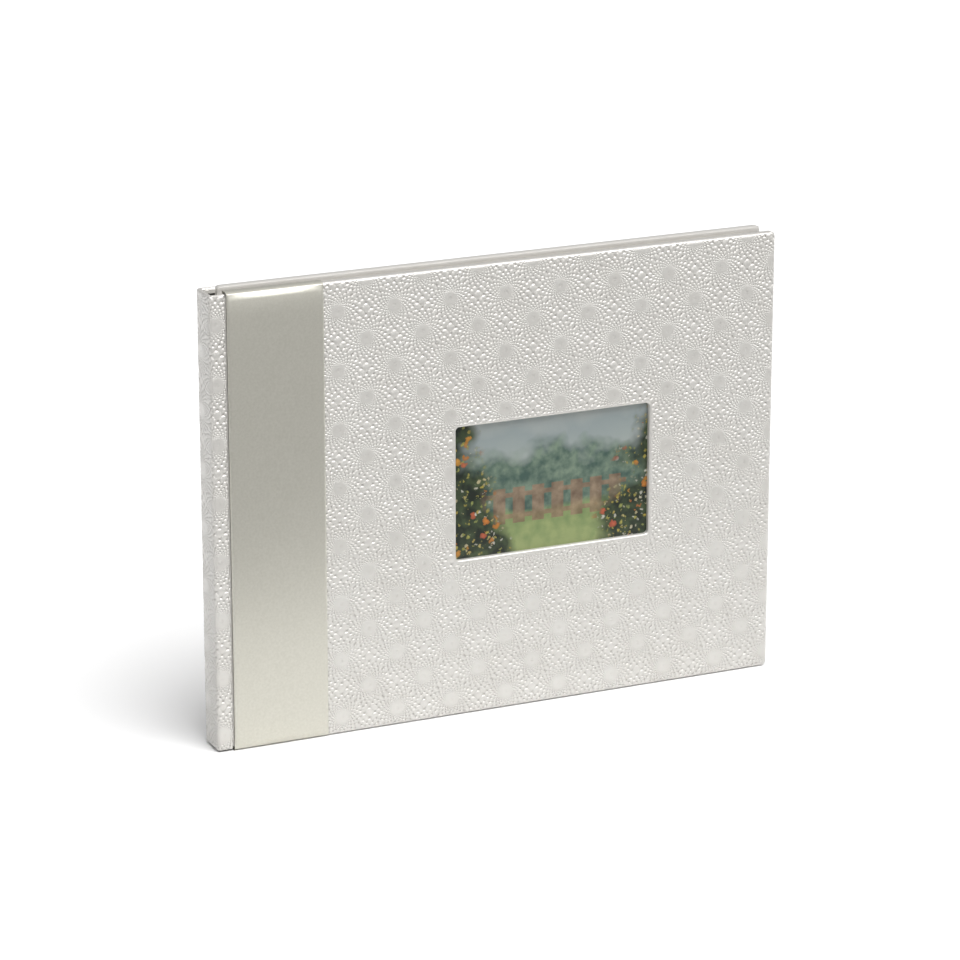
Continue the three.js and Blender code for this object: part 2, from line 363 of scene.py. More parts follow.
@dataclass(frozen=True)
class Sunburst:
    """The embossed pattern: staggered domes that grow outwards from centres on a centred square lattice.

    Lengths are in mm. The cells are counted round a centre, and growth, dimple_depth, least, tightness
    and flatness are ratios.
    """

    centre_u: float
    centre_v: float
    period: float = 28.4
    cells: int = 20
    first_ring: float = 4.6
    growth: float = 1.2
    disc: float = 2.6
    disc_fade: float = 2.2
    dimple: float = 0.8
    dimple_depth: float = 0.35
    full_from: float = 5.0
    least: float = 0.6
    tightness: float = 1.4
    flatness: float = 0.42
    depth: float = 0.4

    def relief(self, u: np.ndarray, v: np.ndarray) -> np.ndarray:
        """Height of the emboss on the blank, at or below 0.

        Args:
            u: place along the blank's width, in mm.
            v: place along its height, in mm.

        Returns:
            The height in mm.
        """
        a = ((u - self.centre_u) + (v - self.centre_v)) / self.period
        b = ((u - self.centre_u) - (v - self.centre_v)) / self.period
        a, b = a - np.rint(a), b - np.rint(b)
        x, y = (a + b) * self.period / 2, (a - b) * self.period / 2
        radius = np.maximum(np.hypot(x, y), 1e-3)
        ring = np.log(radius / self.first_ring) / math.log(self.growth)
        turn = np.arctan2(y, x) / (2 * math.pi) * self.cells
        best = np.zeros_like(radius)
        for stagger in (0, 1):
            along, across = (ring + stagger) / 2, turn + stagger / 2
            away = [4 * (part - np.rint(part)) ** 2 for part in (along, across)]
            best = np.maximum(best, 1 - self.tightness * (away[0] + away[1]))
        span = self.period / 2 - self.full_from
        growth = self.least + (1 - self.least) * (radius - self.full_from) / span
        amount = np.clip((radius - self.disc) / self.disc_fade, 0, 1) * np.clip(growth, self.least, 1)
        dip = np.where(radius < self.dimple, self.dimple_depth, 0)
        return -(amount * (1 - best ** self.flatness) + dip) * self.depth

    def shade(self, bench: "Dresser") -> tuple[Value, Value]:
        """The same pattern in nodes, on the piece's own blank attribute.

        Args:
            bench: the material being made.

        Returns:
            The height from 0 to 1, and how deep the place lies between its domes, from 0 to 1.
        """
        m = bench.math
        blank = bench.add("ShaderNodeAttribute", attribute_name="blank")
        split = bench.add("ShaderNodeSeparateXYZ")
        bench.link(blank.outputs["Vector"], split.inputs[0])
        u = m("SUBTRACT", split.outputs[0], self.centre_u)
        v = m("SUBTRACT", split.outputs[1], self.centre_v)
        a = m("DIVIDE", m("ADD", u, v), self.period)
        b = m("DIVIDE", m("SUBTRACT", u, v), self.period)
        a = m("SUBTRACT", m("FRACT", m("ADD", a, 0.5)), 0.5)
        b = m("SUBTRACT", m("FRACT", m("ADD", b, 0.5)), 0.5)
        x = m("MULTIPLY", m("ADD", a, b), self.period / 2)
        y = m("MULTIPLY", m("SUBTRACT", a, b), self.period / 2)
        radius = m("MAXIMUM", m("SQRT", m("ADD", m("MULTIPLY", x, x), m("MULTIPLY", y, y))), 0.01)
        ring = m("LOGARITHM", m("DIVIDE", radius, self.first_ring), self.growth)
        turn = m("MULTIPLY", m("ARCTAN2", y, x), self.cells / (2 * math.pi))

        def away(part: Value, shift: float) -> bpy.types.NodeSocket:
            """Squared distance from the nearest dome's middle along one direction."""
            off = m("SUBTRACT", m("FRACT", m("ADD", part, shift + 0.5)), 0.5)
            return m("MULTIPLY", off, m("MULTIPLY", off, 4.0 * self.tightness))

        half = m("MULTIPLY", ring, 0.5)
        sums = [m("ADD", away(half, shift), away(turn, shift)) for shift in (0.0, 0.5)]
        dome = m("POWER", m("MAXIMUM", m("SUBTRACT", 1.0, m("MINIMUM", *sums)), 0.0), self.flatness)
        slope = (1 - self.least) / (self.period / 2 - self.full_from)
        growth = m("MULTIPLY_ADD", m("SUBTRACT", radius, self.full_from), slope, self.least)
        growth = bench.clamp(growth, self.least)
        fade = bench.clamp(m("DIVIDE", m("SUBTRACT", radius, self.disc), self.disc_fade))
        between = m("MULTIPLY", m("SUBTRACT", 1.0, dome), m("MULTIPLY", fade, split.outputs[2]))
        dip = m("MULTIPLY", m("LESS_THAN", radius, self.dimple), self.dimple_depth)
        fall = m("ADD", m("MULTIPLY", between, growth), m("MULTIPLY", dip, split.outputs[2]))
        return m("SUBTRACT", 1.0, fall), between


class Dresser:
    """Makes one material, node by node."""

    def __init__(self, name: str) -> None:
        """Starts a material with a shader and nothing else.

        Args:
            name: the material's name.
        """
        self.material = bpy.data.materials.new(name)
        self.material.use_nodes = True
        self.tree = self.material.node_tree
        self.tree.nodes.clear()
        self.shader = self.add("ShaderNodeBsdfPrincipled")
        output = self.add("ShaderNodeOutputMaterial")
        self.link(self.shader.outputs[0], output.inputs[0])

    def add(self, kind: str, **settings: object) -> bpy.types.Node:
        """Adds a node and sets its properties.

        Args:
            kind: the node's type.
            settings: its properties by name.

        Returns:
            The node.
        """
        node = self.tree.nodes.new(kind)
        for key, setting in settings.items():
            setattr(node, key, setting)
        return node

    def link(self, source: bpy.types.NodeSocket, target: bpy.types.NodeSocket) -> None:
        """Joins two sockets."""
        self.tree.links.new(source, target)

    def feed(self, target: bpy.types.NodeSocket, value: object) -> None:
        """Sets a socket to a value, or links another socket to it.

        Args:
            target: the socket to feed.
            value: a number, a colour or a socket.
        """
        if isinstance(value, bpy.types.NodeSocket):
            self.link(value, target)
        elif isinstance(value, tuple) and len(value) == 3 and target.type == "RGBA":
            target.default_value = (*value, 1.0)
        else:
            target.default_value = value

    def math(self, operation: str, *values: Value) -> bpy.types.NodeSocket:
        """The result of a Math node.

        Args:
            operation: what the node does.
            values: its numbers or sockets, in order.

        Returns:
            The result.
        """
        node = self.add("ShaderNodeMath", operation=operation)
        for target, value in zip(node.inputs, values):
            self.feed(target, value)
        return node.outputs[0]

    def clamp(self, value: Value, low: float = 0.0) -> bpy.types.NodeSocket:
        """A value kept between a low limit and 1."""
        return self.math("MINIMUM", self.math("MAXIMUM", value, low), 1.0)

    def vary(self, base: float, swing: float, pattern: Value) -> bpy.types.NodeSocket:
        """A value that a pattern from 0 to 1 raises by up to a swing."""
        return self.math("ADD", base, self.math("MULTIPLY", pattern, swing))

    def place(self) -> bpy.types.NodeSocket:
        """Object coordinates, in metres."""
        return self.add("ShaderNodeTexCoord").outputs["Object"]

    def noise(self, scale: float, detail: float = 3.0,
              stretch: Colour = (1.0, 1.0, 1.0)) -> bpy.types.NodeSocket:
        """Noise on Object coordinates.

        Args:
            scale: patches per metre.
            detail: finer octaves.
            stretch: factor along each axis.

        Returns:
            The noise, from 0 to 1.
        """
        mapping = self.add("ShaderNodeMapping")
        mapping.inputs["Scale"].default_value = stretch
        self.link(self.place(), mapping.inputs[0])
        node = self.add("ShaderNodeTexNoise")
        node.inputs["Scale"].default_value = scale
        node.inputs["Detail"].default_value = detail
        self.link(mapping.outputs[0], node.inputs["Vector"])
        return node.outputs[0]

    def ramp(self, factor: Value, stops: Sequence[tuple[float, Colour]]) -> bpy.types.NodeSocket:
        """A colour ramp.

        Args:
            factor: what drives it.
            stops: position and colour of each stop.

        Returns:
            The colour.
        """
        node = self.add("ShaderNodeValToRGB")
        elements = node.color_ramp.elements
        while len(elements) < len(stops):
            elements.new(0.5)
        for element, (position, colour) in zip(elements, stops):
            element.position = position
            element.color = (*colour, 1.0)
        self.feed(node.inputs[0], factor)
        return node.outputs[0]

    def mix(self, factor: Value, low: object, high: object, blend: str = "MIX") -> bpy.types.NodeSocket:
        """A mix of two colours.

        Args:
            factor: share of the second one.
            low: the first colour.
            high: the second colour.
            blend: how they mix.

        Returns:
            The colour.
        """
        node = self.add("ShaderNodeMix", data_type="RGBA", blend_type=blend)
        self.feed(node.inputs[0], factor)
        self.feed(node.inputs[6], low)
        self.feed(node.inputs[7], high)
        return node.outputs[2]

    def bump(self, height: Value, distance: float, strength: float = 1.0,
             below: bpy.types.NodeSocket | None = None) -> bpy.types.NodeSocket:
        """A bump over another one.

        Args:
            height: the height, from 0 to 1.
            distance: what 1 stands for, in mm.
            strength: how much of it shows.
            below: the normal that it adds to.

        Returns:
            The normal.
        """
        node = self.add("ShaderNodeBump")
        node.inputs["Strength"].default_value = strength
        node.inputs["Distance"].default_value = distance * MM
        self.feed(node.inputs["Height"], height)
        if below is not None:
            self.link(below, node.inputs["Normal"])
        return node.outputs[0]

    def finish(self, **sockets: object) -> bpy.types.Material:
        """Feeds the shader's sockets.

        Args:
            sockets: the value of each socket, named with underscores for spaces.

        Returns:
            The material.
        """
        for key, value in sockets.items():
            self.feed(self.shader.inputs[key.replace("_", " ")], value)
        return self.material


@dataclass(frozen=True)
class Leatherette:
    """Pearl leatherette with the embossed sunbursts; painted shade darkens the grooves between the domes."""

    pattern: Sunburst
    # crest is the leatherette's own colour; the second colour is painted shade, darker, for the grooves
    # between the domes.
    crest: Colour = (0.62, 0.605, 0.575)
    groove_shade: Colour = (0.50, 0.478, 0.447)
    cloud: Colour = (0.965, 0.96, 0.955)
    cloud_scale: float = 55.0
    roughness: float = 0.27
    gloss_swing: float = 0.12
    gloss_scale: float = 900.0
    emboss_mm: float = 0.75
    grain_mm: float = 0.05
    grain_scale: float = 2600.0

    def material(self, name: str) -> bpy.types.Material:
        """Makes the material.

        Args:
            name: a name of its own.

        Returns:
            The material.
        """
        d = Dresser(name)
        height, between = self.pattern.shade(d)
        # Painted shade: the colour runs from the crest colour to the darker second one deep in the grooves
        # between the domes.
        tone = d.ramp(between, ((0.6, self.crest), (1.0, self.groove_shade)))
        cloud = d.ramp(d.noise(self.cloud_scale), ((0.3, self.cloud), (0.7, (1.0, 1.0, 1.0))))
        colour = d.mix(1.0, tone, cloud, "MULTIPLY")
        embossed = d.bump(height, self.emboss_mm)
        normal = d.bump(d.noise(self.grain_scale, 2.0), self.grain_mm, 0.4, embossed)
        gloss = d.vary(self.roughness, self.gloss_swing, d.noise(self.gloss_scale))
        return d.finish(Base_Color=colour, Roughness=gloss, Normal=normal, Metallic=0.3, Coat_Weight=0.4,
                        Coat_Roughness=0.2, Specular_IOR_Level=0.5)


@dataclass(frozen=True)
class Satin:
    """Smooth satin pearl of the band, with its fine even grain."""

    light: Colour = (0.585, 0.572, 0.508)
    dark: Colour = (0.53, 0.517, 0.453)
    tone_scale: float = 900.0
    roughness: float = 0.29
    gloss_swing: float = 0.08
    gloss_scale: float = 1500.0
    grain_mm: float = 0.03
    grain_scale: float = 3200.0
    sway_mm: float = 0.5
    sway_scale: float = 38.0

    def material(self, name: str) -> bpy.types.Material:
        """Makes the material.

        Args:
            name: a name of its own.

        Returns:
            The material.
        """
        d = Dresser(name)
        colour = d.ramp(d.noise(self.tone_scale, 4.0), ((0.3, self.dark), (0.7, self.light)))
        normal = d.bump(d.noise(self.grain_scale, 2.0), self.grain_mm, 0.5)
        normal = d.bump(d.noise(self.sway_scale, 1.0), self.sway_mm, 0.25, normal)
        gloss = d.vary(self.roughness, self.gloss_swing, d.noise(self.gloss_scale))
        return d.finish(Base_Color=colour, Roughness=gloss, Normal=normal, Metallic=0.6, Coat_Weight=0.1,
                        Coat_Roughness=0.35)


@dataclass(frozen=True)
class Fibre:
    """Paper or board: short fibres in a tone that varies a little."""

    light: Colour
    dark: Colour
    roughness: float = 0.85
    fibre_mm: float = 0.04
    flecks: float = 1800.0
    clouds: float = 60.0

    def material(self, name: str) -> bpy.types.Material:
        """Makes the material.

        Args:
            name: a name of its own.

        Returns:
            The material.
        """
        d = Dresser(name)
        tone = d.math("ADD", d.math("MULTIPLY", d.noise(self.flecks, 4.0, (1.0, 1.0, 0.35)), 0.6),
                      d.math("MULTIPLY", d.noise(self.clouds), 0.4))
        colour = d.ramp(tone, ((0.3, self.dark), (0.7, self.light)))
        normal = d.bump(d.noise(self.flecks, 3.0, (0.35, 1.0, 1.0)), self.fibre_mm, 0.6)
        return d.finish(Base_Color=colour, Roughness=self.roughness, Normal=normal, Specular_IOR_Level=0.25)


GREYBOARD = Fibre((0.36, 0.335, 0.29), (0.25, 0.23, 0.2), 0.9, 0.06)
# Near-black board for the spine's stiffener: painted shade, standing in for the deep shade inside the spine.
PAINTED_SHADE_BOARD = Fibre((0.075, 0.07, 0.062), (0.045, 0.042, 0.038), 0.9, 0.06)
LINING_PAPER = Fibre((0.62, 0.57, 0.49), (0.57, 0.52, 0.44))
LEAF_PAPER = Fibre((0.67, 0.66, 0.635), (0.61, 0.60, 0.57), 0.6, 0.02)


@dataclass(frozen=True)
class SheetSteel:
    """Dull sheet steel of the channel, drawn lengthwise."""

    colour: Colour = (0.16, 0.165, 0.175)
    worn: Colour = (0.3, 0.305, 0.31)
    roughness: float = 0.35
    gloss_swing: float = 0.25
    line_scale: float = 2500.0
    line_mm: float = 0.03

    def material(self, name: str) -> bpy.types.Material:
        """Makes the material.

        Args:
            name: a name of its own.

        Returns:
            The material.
        """
        d = Dresser(name)
        lines = d.noise(self.line_scale, 3.0, (1.0, 1.0, 0.02))
        colour = d.ramp(lines, ((0.35, self.colour), (0.75, self.worn)))
        gloss = d.vary(self.roughness, self.gloss_swing, lines)
        return d.finish(Base_Color=colour, Roughness=gloss, Metallic=0.9,
                        Normal=d.bump(lines, self.line_mm, 0.4))


@dataclass(frozen=True)
class GardenPrint:
    """The picture card: a plain garden view of soft shapes, in greens under a pale sky."""

    middle_x: float
    middle_z: float
    half_width: float
    half_height: float

    # The fence in halves of the window: its middle, half height, half width, and its slats and rails
    fence_down: float = 0.3
    fence_half: float = 0.27
    fence_reach: float = 0.78
    slats: float = 5.0
    slat_share: float = 0.62
    rail_off: float = 0.16
    rail_half: float = 0.035

    # For each size of bloom: cells per metre, width, share of bare cells, and tones
    BLOOMS = (
        (420.0, 0.42, 0.35, ((0.0, (0.30, 0.34, 0.10)), (0.5, (0.50, 0.38, 0.06)),
                             (0.9, (0.60, 0.58, 0.50)))),
        (190.0, 0.40, 0.55, ((0.0, (0.62, 0.16, 0.02)), (0.5, (0.66, 0.34, 0.04)),
                             (0.9, (0.55, 0.10, 0.05)))),
    )

    def material(self, name: str) -> bpy.types.Material:
        """Makes the material.

        Args:
            name: a name of its own.

        Returns:
            The material.
        """
        d = Dresser(name)
        m = d.math
        split = d.add("ShaderNodeSeparateXYZ")
        d.link(d.place(), split.inputs[0])
        middle = row_point(self.middle_x, 0, self.middle_z)
        x = m("DIVIDE", m("SUBTRACT", split.outputs[0], middle.x), self.half_width * MM)
        z = m("DIVIDE", m("SUBTRACT", split.outputs[2], middle.z), self.half_height * MM)
        broad, fine = d.noise(42.0, 3.0), d.noise(170.0, 4.0)

        def below(edge: float, wave: float, soft: float) -> bpy.types.NodeSocket:
            """Mask of what lies under a wavy height."""
            line = m("ADD", edge, m("MULTIPLY", m("SUBTRACT", broad, 0.5), wave))
            return m("MULTIPLY_ADD", m("SUBTRACT", line, z), 1.0 / soft, 0.5)

        sky = d.ramp(m("MULTIPLY_ADD", z, 0.5, m("MULTIPLY", broad, 0.6)),
                     ((0.25, (0.33, 0.36, 0.33)), (0.7, (0.24, 0.28, 0.28)), (1.0, (0.36, 0.37, 0.35))))
        trees = d.ramp(fine, ((0.35, (0.045, 0.085, 0.07)), (0.65, (0.16, 0.22, 0.16))))
        view = d.mix(d.clamp(below(0.42, 1.3, 0.25)), sky, trees)
        lawn = d.ramp(m("MULTIPLY_ADD", fine, 0.7, m("MULTIPLY", z, -0.4)),
                      ((0.3, (0.10, 0.17, 0.06)), (0.75, (0.25, 0.30, 0.12))))
        view = d.mix(d.clamp(below(-0.38, 0.35, 0.12)), view, lawn)
        rise, wide = m("ABSOLUTE", m("ADD", z, self.fence_down)), m("ABSOLUTE", x)
        slat = m("LESS_THAN", m("FRACT", m("MULTIPLY", x, self.slats)), self.slat_share)
        rail = m("LESS_THAN", m("ABSOLUTE", m("SUBTRACT", rise, self.rail_off)), self.rail_half)
        reach = m("MULTIPLY", m("LESS_THAN", rise, self.fence_half), m("LESS_THAN", wide, self.fence_reach))
        fence = m("MULTIPLY", m("MAXIMUM", slat, rail), reach)
        wood = d.ramp(fine, ((0.3, (0.13, 0.075, 0.045)), (0.7, (0.30, 0.20, 0.13))))
        view = d.mix(m("MULTIPLY", fence, 0.8), view, wood)
        side = m("ADD", wide, m("MULTIPLY", m("SUBTRACT", broad, 0.5), 1.1))
        low = m("SUBTRACT", side, m("MULTIPLY", z, 0.25))
        bush = d.ramp(fine, ((0.4, (0.008, 0.014, 0.008)), (0.7, (0.05, 0.075, 0.03))))
        view = d.mix(d.clamp(m("MULTIPLY", m("SUBTRACT", low, 0.62), 5.0)), view, bush)
        ragged = d.add("ShaderNodeVectorMath", operation="MULTIPLY_ADD")
        ragged.inputs[1].default_value = (0.004, 0.004, 0.004)
        d.link(d.noise(420.0, 3.0), ragged.inputs[0])
        d.link(d.place(), ragged.inputs[2])
        beds = d.clamp(m("MULTIPLY", m("SUBTRACT", low, 0.6), 6.0))
        for scale, width, share, shades in self.BLOOMS:
            petals = d.add("ShaderNodeTexVoronoi")
            petals.inputs["Scale"].default_value = scale
            d.link(ragged.outputs[0], petals.inputs["Vector"])
            hue = d.add("ShaderNodeSeparateColor")
            d.link(petals.outputs["Color"], hue.inputs[0])
            out = petals.outputs["Distance"]
            bloom = d.mix(m("MULTIPLY", out, 1.5), d.ramp(hue.outputs[0], shades), (0.02, 0.03, 0.01))
            shown = m("MULTIPLY", m("LESS_THAN", out, width), m("GREATER_THAN", hue.outputs[1], share))
            view = d.mix(m("MULTIPLY", m("MULTIPLY", shown, beds), 0.92), view, bloom)
        return d.finish(Base_Color=view, Roughness=0.3, Normal=d.bump(fine, 0.02, 0.2), Coat_Weight=0.3,
                        Coat_Roughness=0.12)


def dress(piece: bpy.types.Object, material: bpy.types.Material) -> None:
    """Gives a piece its material in every slot.

    Args:
        piece: the piece.
        material: its material.
    """
    if not piece.data.materials:
        piece.data.materials.append(material)
    for slot in piece.material_slots:
        slot.material = material


def dress_node(node: str, material: bpy.types.Material) -> None:
    """Gives a carried-over node its material and reports it."""
    dress(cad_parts[node], material)
    LOG.info("%s: dressed as it is", node)


@dataclass
class Window:
    """The picture window's opening in the front cover."""

    left: float = 114.6
    right: float = 216.6
    low: float = 78.0
    high: float = 144.0
    corner: float = 1.2
    rounding: float = 0.8
    lip_y: float = 2.35

    @property
    def middle(self) -> tuple[float, float]:
        """Middle of the opening, along X and Z."""
        return (self.left + self.right) / 2, (self.low + self.high) / 2

    @property
    def half(self) -> tuple[float, float]:
        """Half the opening's width and height."""
        return (self.right - self.left) / 2, (self.high - self.low) / 2

    def scales(self, old: float, new: float) -> tuple[float, float]:
        """The scale from one margin round the opening to another.

        Args:
            old: the margin now.
            new: the margin wanted.

        Returns:
            The scales along X and Z.
        """
        half_x, half_z = self.half
        return (half_x + new) / (half_x + old), (half_z + new) / (half_z + old)

    def holds(self, x: float, z: float, margin: float) -> bool:
        """Whether a point is in the opening grown by a margin."""
        return self.left - margin < x < self.right + margin and self.low - margin < z < self.high + margin


@dataclass
class WrappedSkin:
    """A cover's leatherette: one blank over the board, wrapped round its edges and turned in."""

    name: str
    node: str
    body: Body
    left: float
    right: float
    foot: float
    head: float
    face_y: float
    inner_y: float
    pattern: Sunburst
    cell: float
    smooth_to: float | None = None
    window: Window | None = None
    corner: float = 2.4
    rounding: float = 1.2
    thickness: float = 0.6
    turn_in: float = 15.0
    turn_in_start: float = 0.15
    coarse_cell: float = 12.0
    relief_fade: float = 1.0
    edge_press: float = 0.12
    flap_press: float = 0.3

    @property
    def inward(self) -> float:
        """+1 where the board lies at higher Y than the face, otherwise -1."""
        return 1.0 if self.inner_y > self.face_y else -1.0

    def edge(self) -> SoftPath:
        """The wrap's path.

        Returns:
            The path: how far out it is, and how deep behind the face.
        """
        depth = abs(self.inner_y - self.face_y)
        return SoftPath(((0.0, 0.0, 0.0), (self.corner, 0.0, self.rounding),
                         (self.corner, depth, self.rounding), (self.turn_in_start, depth, 0.0)))

    def wrap(self, u: np.ndarray, v: np.ndarray, edge: SoftPath) -> tuple[np.ndarray, np.ndarray]:
        """Lays the blank's points round the board.

        Args:
            u: place along the blank's width, equal to X on the face.
            v: place along its height, equal to Z on the face.
            edge: the wrap's path.

        Returns:
            The points and their outward normals, in the working frame.
        """
        base_x = np.clip(u, self.left + self.corner, self.right - self.corner)
        base_z = np.clip(v, self.foot + self.corner, self.head - self.corner)
        over_x, over_z = u - base_x, v - base_z
        wide, tall = np.abs(over_x), np.abs(over_z)
        distance = np.maximum(wide, tall)
        share = np.minimum(wide, tall) / np.maximum(distance, 1e-9) * math.pi / 4
        angle = np.where(wide >= tall, share, math.pi / 2 - share)
        out_x, out_z = np.cos(angle) * np.sign(over_x), np.sin(angle) * np.sign(over_z)
        section, turned = edge.at(distance)
        places = np.stack((base_x + out_x * section[:, 0], self.face_y + self.inward * section[:, 1],
                           base_z + out_z * section[:, 0]), -1)
        normals = np.stack((out_x * turned[:, 0], self.inward * turned[:, 1], out_z * turned[:, 0]), -1)
        return places, normals

    def build(self) -> bpy.types.Object:
        """Models the skin and lets it ride on its cover.

        Returns:
            The piece.
        """
        edge = self.edge()
        left, right = self.left + self.corner, self.right - self.corner
        foot, head = self.foot + self.corner, self.head - self.corner
        stops_x = [left - edge.length, left, right, right + edge.length]
        stops_z = [foot - edge.length, foot, head, head + edge.length]
        steps_x, steps_z = [self.cell] * 3, [self.cell] * 3
        if self.window:
            grown = self.window.rounding
            stops_x[2:2] = [self.window.left - grown, self.window.right + grown]
            stops_z[2:2] = [self.window.low - grown, self.window.high + grown]
            steps_x, steps_z = [self.cell] * 5, [self.cell] * 5
        if self.smooth_to:
            stops_x.insert(2, self.smooth_to)
            steps_x.insert(1, self.coarse_cell)
        xs, zs = ruled(stops_x, steps_x), ruled(stops_z, steps_z)
        piece = Bench.plate(self.name, len(xs) - 1, len(zs) - 1)
        u, v = Bench.lay(piece, xs, zs)
        places, normals = self.wrap(u, v, edge)
        relief = self.pattern.relief(u, v)
        if self.smooth_to:
            relief = np.where(u < self.smooth_to, -self.pattern.depth, relief)
        press = self.press(u, v)
        Bench.write(piece, places + normals * (relief * press)[:, None])
        Bench.mark(piece, u, v, press)
        if self.window:
            self.open_window(piece, self.window)
        self.turn_edges(piece)
        Bench.close(piece)
        Bench.face_out(piece)
        self.mark_rest(piece, edge)
        Bench.smooth(piece)
        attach(piece, self.body.value)
        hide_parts(self.node)
        LOG.info("%s: %d faces on %s", piece.name, len(piece.data.polygons), self.body.value)
        return piece

    def press(self, u: np.ndarray, v: np.ndarray) -> np.ndarray:
        """How much of the emboss is left where the skin is pulled over an edge, from 0 to 1.

        Args:
            u: place along the blank's width.
            v: place along its height.

        Returns:
            The share of the full depth.
        """
        out = np.maximum.reduce((self.left - u, u - self.right, self.foot - v, v - self.head)) + self.rounding
        share = np.clip(1 - out / self.relief_fade, self.edge_press, 1)
        if self.window:
            window = self.window
            out = np.maximum.reduce((window.left - u, u - window.right, window.low - v, v - window.high))
            share = np.minimum(share, np.clip((out - window.rounding) / self.relief_fade, 0, 1))
        return share

    def open_window(self, piece: bpy.types.Object, window: Window) -> None:
        """Cuts the window and folds its lip in.

        Args:
            piece: the skin.
            window: the opening.
        """
        grown = window.rounding
        Bench.edit(piece, "FACE")
        Bench.pick_faces(piece, lambda at: window.holds(at[0], at[2], grown) and at[1] < 1.0)
        bpy.ops.mesh.delete(type="FACE")
        Bench.clear()
        places = Bench.read(piece)
        self.round_corners(places, window, grown)
        Bench.write(piece, places)
        Bench.edit(piece, "EDGE")
        Bench.pick_rim(piece, lambda at: window.holds(at[0], at[2], grown + 1.0))
        middle = row_point(window.middle[0], 0, window.middle[1])
        margin, depth = grown, 0.0
        for angle in (math.pi / 6, math.pi / 3, math.pi / 2):
            new_margin, new_depth = grown * (1 - math.sin(angle)), grown * (1 - math.cos(angle))
            Bench.pull_rim(new_depth - depth, middle, *window.scales(margin, new_margin))
            margin, depth = new_margin, new_depth
        Bench.pull_rim(window.lip_y - depth, middle, 1.0, 1.0)
        Bench.pull_rim(0.0, middle, *window.scales(0.0, self.thickness))
        Bench.pull_rim(self.thickness - window.lip_y, middle, 1.0, 1.0)
        Bench.clear()

    def round_corners(self, places: np.ndarray, window: Window, grown: float) -> None:
        """Moves the points of the opening's corners on to their arcs.

        Args:
            places: the skin's points, changed in place.
            window: the opening.
            grown: the opening's margin at this stage.
        """
        radius = window.corner + grown
        for x, turn_x in ((window.left - grown, -1), (window.right + grown, 1)):
            for z, turn_z in ((window.low - grown, -1), (window.high + grown, 1)):
                back_x, back_z = (x - places[:, 0]) * turn_x, (z - places[:, 2]) * turn_z
                face = places[:, 1] < 1.0
                for along, off, level in ((back_x, back_z, True), (back_z, back_x, False)):
                    near = face & (np.abs(off) < NEAR) & (along > -NEAR) & (along < radius)
                    angle = (1 - along[near] / radius) * math.pi / 4
                    first, second = radius * (1 - np.sin(angle)), radius * (1 - np.cos(angle))
                    places[near, 0] = x - turn_x * (first if level else second)
                    places[near, 2] = z - turn_z * (second if level else first)

    def turn_edges(self, piece: bpy.types.Object) -> None:
        """Turns the outer edges in behind the board and closes the skin's inner side.

        Args:
            piece: the skin.
        """
        half_x, half_z = (self.right - self.left) / 2, (self.head - self.foot) / 2
        middle = row_point((self.left + self.right) / 2, 0, (self.foot + self.head) / 2)
        start = self.corner - self.turn_in_start
        inset = [start, self.turn_in, self.thickness]
        scales = [((half_x - new) / (half_x - old), (half_z - new) / (half_z - old))
                  for old, new in zip(inset, inset[1:])]
        room = abs(self.inner_y - self.face_y) - 2 * self.thickness
        Bench.edit(piece, "EDGE")
        Bench.pick_rim(piece, lambda at: abs(at[1] - self.inner_y) < 0.5)
        Bench.pull_rim(0.0, middle, *scales[0])
        Bench.pull_rim(-self.inward * self.thickness, middle, 1.0, 1.0)
        Bench.pull_rim(0.0, middle, *scales[1])
        Bench.pull_rim(-self.inward * room, middle, 1.0, 1.0)
        if self.window:
            window = self.window
            Bench.pick_rim(piece, lambda at: window.holds(at[0], at[2], self.thickness + 1.0))
            bpy.ops.mesh.bridge_edge_loops()
        else:
            bpy.ops.mesh.edge_face_add()
        Bench.clear()

    def mark_rest(self, piece: bpy.types.Object, edge: SoftPath) -> None:
        """Carries the emboss on to the turned-in edges and the window's lip.

        Args:
            piece: the finished skin.
            edge: the wrap's path.
        """
        places = Bench.read(piece)
        marks = piece.data.attributes["blank"]
        flat = np.empty(len(places) * 3, np.float32)
        marks.data.foreach_get("vector", flat)
        u, v, press = flat.reshape(-1, 3).astype(float).T
        x, z = places[:, 0], places[:, 2]
        behind = np.abs(places[:, 1] - self.inner_y) < NEAR
        gaps = np.stack((x - self.left, self.right - x, z - self.foot, self.head - z))
        side = gaps.argmin(0)
        run = edge.length + gaps.min(0) - self.corner
        flap = behind & (gaps.min(0) > self.corner - self.turn_in_start + NEAR)
        u = np.select([flap & (side == 0), flap & (side == 1), flap],
                      [self.left + self.corner - run, self.right - self.corner + run, x], u)
        v = np.select([flap & (side == 2), flap & (side == 3), flap],
                      [self.foot + self.corner - run, self.head - self.corner + run, z], v)
        if self.window:
            window = self.window
            inside = np.array([window.holds(a, b, window.rounding - NEAR) for a, b in zip(x, z)])
            depth = places[:, 1] - self.face_y
            gaps = np.stack((x - window.left, window.right - x, z - window.low, window.high - z))
            side = gaps.argmin(0)
            turn_x, turn_z = np.array((1.0, -1.0, 0.0, 0.0))[side], np.array((0.0, 0.0, 1.0, -1.0))[side]
            u, v = np.where(inside, x + turn_x * depth, u), np.where(inside, z + turn_z * depth, v)
            press = np.where(inside, 0.0, press)
        Bench.mark(piece, u, v, np.where(flap, self.flap_press, press))


